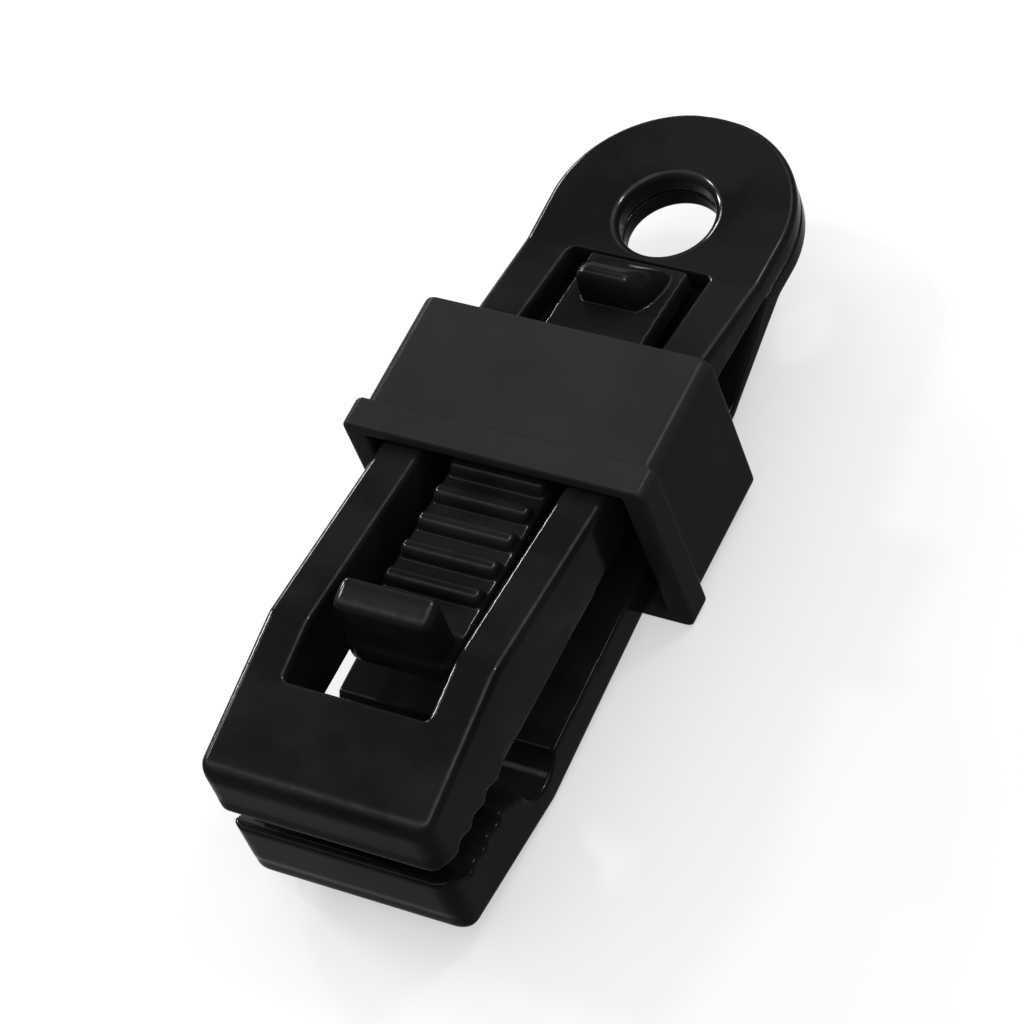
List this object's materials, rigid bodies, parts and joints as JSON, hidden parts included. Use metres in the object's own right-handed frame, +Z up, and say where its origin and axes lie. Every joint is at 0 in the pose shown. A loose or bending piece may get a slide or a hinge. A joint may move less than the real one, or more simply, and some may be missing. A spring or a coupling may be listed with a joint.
{
  "type": "tarp clip",
  "caption": "Wedge-shaped clamp clip for tarpaulins with toothed jaws, a round eye for a line, a ratchet tongue with thumb tab and a sliding collar that squeezes the jaws shut",
  "frame": {"origin": "on the eye hole's axis, level with the middle of the collar", "axes": "+Y points out past the eye and the jaws point along -Y, +X is to the right, +Z is up, from the lower arm to the upper arm with the tongue"},
  "size_m": [0.03, 0.0807, 0.024],
  "materials": {
    "body_plastic": "glossy black injection-moulded nylon",
    "collar_plastic": "satin black injection-moulded nylon"
  },
  "bodies": {
    "hinge": {"hinge_bead": "body_plastic"},
    "upper_jaw": {"upper_arm": "body_plastic"},
    "lower_jaw": {"lower_arm": "body_plastic"},
    "tongue": {"release_tongue": "body_plastic"},
    "collar": {"slide_collar": "collar_plastic"}
  },
  "joints": [
    {"name": "collar_slide", "type": "slide", "parent": "hinge", "child": "collar", "axis": [0, 1, 0], "range_m": [-0.002, 0.0048]},
    {"name": "upper_jaw_hinge", "type": "hinge", "parent": "hinge", "child": "upper_jaw", "pos_m": [0, 0.0102, 0.001], "axis": [-1, 0, 0], "range_deg": [-0.51, 1.21]},
    {"name": "lower_jaw_hinge", "type": "hinge", "parent": "hinge", "child": "lower_jaw", "pos_m": [0, 0.0102, 0.001], "axis": [1, 0, 0], "range_deg": [-0.51, 1.21]},
    {"name": "tongue_press", "type": "hinge", "parent": "upper_jaw", "child": "tongue", "pos_m": [0, -0.0056, 0.0022], "axis": [1, 0, 0], "range_deg": [0, 4], "stiffness_Nm_per_rad": 1.5}
  ],
  "couplings": [
    {"joint": "upper_jaw_hinge", "follows": "collar_slide", "rad_per_m": 4.3633},
    {"joint": "lower_jaw_hinge", "follows": "collar_slide", "rad_per_m": 4.3633}
  ]
}
